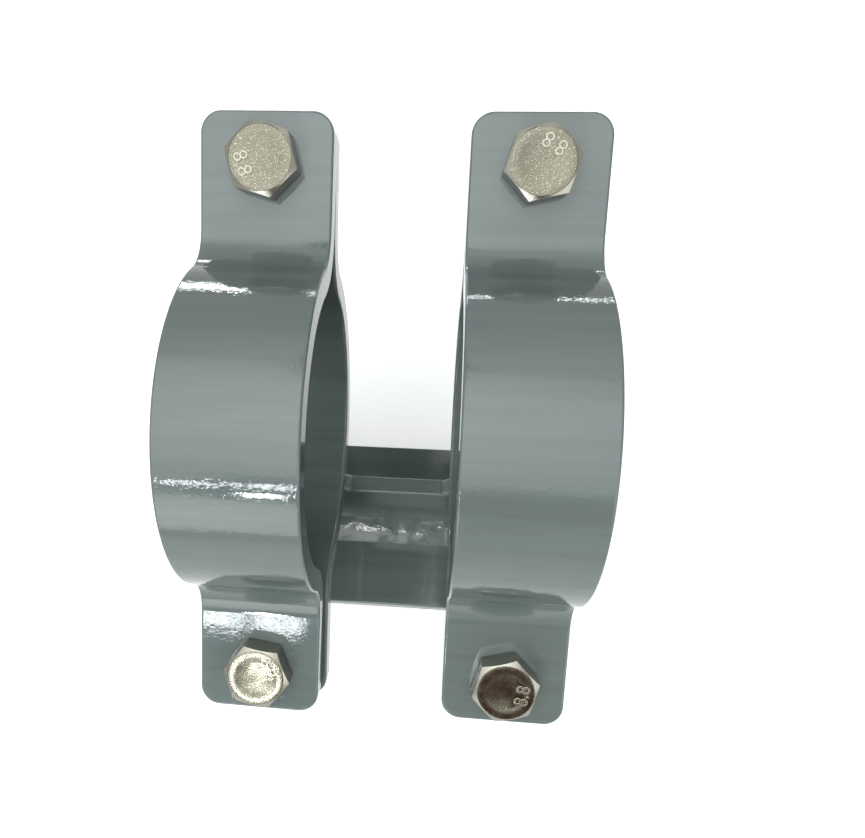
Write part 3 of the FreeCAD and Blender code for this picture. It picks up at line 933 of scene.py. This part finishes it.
def add_card(name, location, tilt, width, height, core, colour):
    """A card that only mirrored rays see. Gloss and plating show its colour where they mirror it.

    It shows its colour plainly in its core, which is this share of it, and fades out from there to its rim.
    """
    bpy.ops.object.select_all(action="DESELECT")
    bpy.ops.mesh.primitive_plane_add(size=1, location=location, rotation=(math.radians(tilt), 0, 0))
    bpy.context.object.scale = (width, height, 1)
    card = finish_primitive(name)
    card.visible_camera = False
    card.visible_diffuse = False
    card.visible_shadow = False
    card.visible_transmission = False
    material, tree = new_material(f"plain_card_of_{name}")
    centred = add_node(
        tree, "ShaderNodeMapping", values={"Location": (-1, -1, 0), "Scale": (2, 2, 0)},
        links={"Vector": add_node(tree, "ShaderNodeTexCoord").outputs["Generated"]},
    ).outputs["Vector"]
    cover = add_node(
        tree, "ShaderNodeTexGradient", settings={"gradient_type": "SPHERICAL"}, links={"Vector": centred}
    ).outputs["Fac"]
    solid = add_node(
        tree, "ShaderNodeMapRange", values={"From Max": 1 - core}, links={"Value": cover}
    ).outputs["Result"]
    clear = add_node(tree, "ShaderNodeBsdfTransparent").outputs["BSDF"]
    plain = add_node(tree, "ShaderNodeEmission", values={"Color": linear(colour)}).outputs["Emission"]
    shader = add_node(tree, "ShaderNodeMixShader", links={0: solid, 1: clear, 2: plain})
    add_node(tree, "ShaderNodeOutputMaterial", links={"Surface": shader.outputs["Shader"]})
    card.data.materials.append(material)


def add_cards():
    # The right lower head and ear mirror the brown card, the base plate and the web's top the dark one, and
    # the left lower ear the grey one
    add_card(
        "brown_flag", location=(0.14, -0.75, 0.43), tilt=62, width=0.48, height=0.44, core=0.5,
        colour="#7d4f38"
    )
    add_card(
        "dark_flag", location=(-0.06, 0.3, 1.0), tilt=0, width=0.26, height=0.62, core=0.68,
        colour="#141618"
    )
    add_card(
        "grey_flag", location=(-0.2, -0.78, 0.53), tilt=62, width=0.4, height=0.33, core=0.4,
        colour="#3a3d3c"
    )


def add_lamp(name, azimuth, elevation, distance, width, height, radiance, spread=180, facing=None):
    """A rectangular soft lamp of daylight that faces the bracket's middle.

    Azimuth 0 is the bracket's front, 90 its right and 180 its back. The radiance is what the lamp's middle
    shows to the bracket. A spread below 180 degrees fades the lamp towards its rim, which gives reflections a
    soft edge. Facing is the azimuth that its face is turned to, when that isn't the lamp's own.
    """
    def direction(turn):
        a, e = math.radians(turn), math.radians(elevation)
        return Vector((math.sin(a) * math.cos(e), -math.cos(a) * math.cos(e), math.sin(e)))

    data = bpy.data.lights.new(name, "AREA")
    data.shape = "RECTANGLE"
    data.size = width
    data.size_y = height
    half = math.radians(spread) / 2
    data.spread = 2 * half
    focus = math.tan(half) / (math.tan(half) - half) if spread < 180 else 1
    data.energy = radiance * math.pi * width * height / focus
    data.color = linear(DAYLIGHT)[:3]
    lamp = bpy.data.objects.new(name, data)
    lamp.location = Vector((0, 0, LAMP_TARGET_HEIGHT)) + direction(azimuth) * distance
    outlook = direction(azimuth if facing is None else facing)
    lamp.rotation_euler = outlook.to_track_quat("Z", "Y").to_euler()
    bpy.context.scene.collection.objects.link(lamp)


def add_lamps():
    # Softboxes light the bracket and give its rings their soft gradients. The rings mirror the top one in
    # their upper part and the key one in their middle, and the left ring the front one in its lower part. The
    # upper ears and heads mirror the key one too.
    add_lamp("key_softbox", -22, 64, distance=1.0, width=2.4, height=2.0, radiance=3.0, spread=95)
    add_lamp("top_softbox", 180, 80, distance=1.2, width=1.6, height=1.6, radiance=1.5, spread=75)
    add_lamp("front_softbox", -17, 5, distance=1.2, width=0.7, height=0.6, radiance=3.4, spread=70)

    # The heads' chamfers and the edges at right mirror this one
    add_lamp("right_window", 48, 20, distance=1.2, width=0.9, height=0.55, radiance=2.2, spread=90)

    # Strips for the glints on the left ring and its lower ear, and small windows for the left lower head and
    # for the glints on the weld
    add_lamp("left_strip", -23.6, 28.2, distance=0.729, width=0.103, height=0.022, radiance=24, facing=0)
    add_lamp("right_strip", -15.6, 29.4, distance=0.701, width=0.062, height=0.026, radiance=24, facing=0)
    add_lamp("small_window", -16.4, 23.7, distance=0.682, width=0.038, height=0.03, radiance=102)
    add_lamp("low_window", -6, 14, distance=1.2, width=0.1, height=0.04, radiance=20)

    # Behind the bracket, for the glints on the upper bends
    add_lamp("back_strip", 180, 14, distance=1.2, width=0.8, height=0.025, radiance=20)
    add_lamp("back_window", -161, 10, distance=1.2, width=0.2, height=0.16, radiance=12)


add_camera()
strap_enamel = grey_gloss_enamel(
    "grey_gloss_enamel_on_straps", peel_depth=0.055, ridge_depth=0.03, sag_depth=0.03, flat_share=0.12
)
shoe_enamel = grey_gloss_enamel(
    "grey_gloss_enamel_on_shoe", peel_depth=0.024, ridge_depth=0.01, sag_depth=0.04
)
weld_enamel = grey_gloss_enamel(
    "grey_gloss_enamel_on_welds", peel_depth=0.07, ridge_depth=0.01, sag_depth=0.1
)
# Each plating carries painted glints, paler specks on its grain's tips, strongest on the heads' forged faces
plating = zinc_plating(
    "bright_zinc_plating", pale="#a9a79b", dull="#8d8b81",
    least_roughness=0.18, most_roughness=0.28, grain_depth=0.004
)
head_face = zinc_plating(
    "zinc_plating_on_forged_face", pale="#d4d1c0", dull="#605e52",
    least_roughness=0.15, most_roughness=0.26, grain_depth=0.01
)
# The figures' plating is paler than the rest's: a painted highlight for the light that their raised edges
# catch
figures = zinc_plating(
    "zinc_plating_on_figures_painted_brighter", pale="#c9c7ba", dull="#878578",
    least_roughness=0.16, most_roughness=0.24, grain_depth=0.003
)

for node, enamel in (
    ("left_clamp_saddle", strap_enamel),
    ("left_clamp_cap", strap_enamel),
    ("right_clamp_saddle", strap_enamel),
    ("right_clamp_cap", strap_enamel),
    ("base_plate", shoe_enamel),
    ("web_plate", shoe_enamel),
):
    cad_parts[node].material_slots[0].material = enamel

build_fasteners(plating, head_face, figures)
build_web_welds(weld_enamel)
build_end_welds(weld_enamel)
add_floor()
add_room()
add_cards()
add_lamps()
bpy.context.scene.view_settings.view_transform = "Standard"
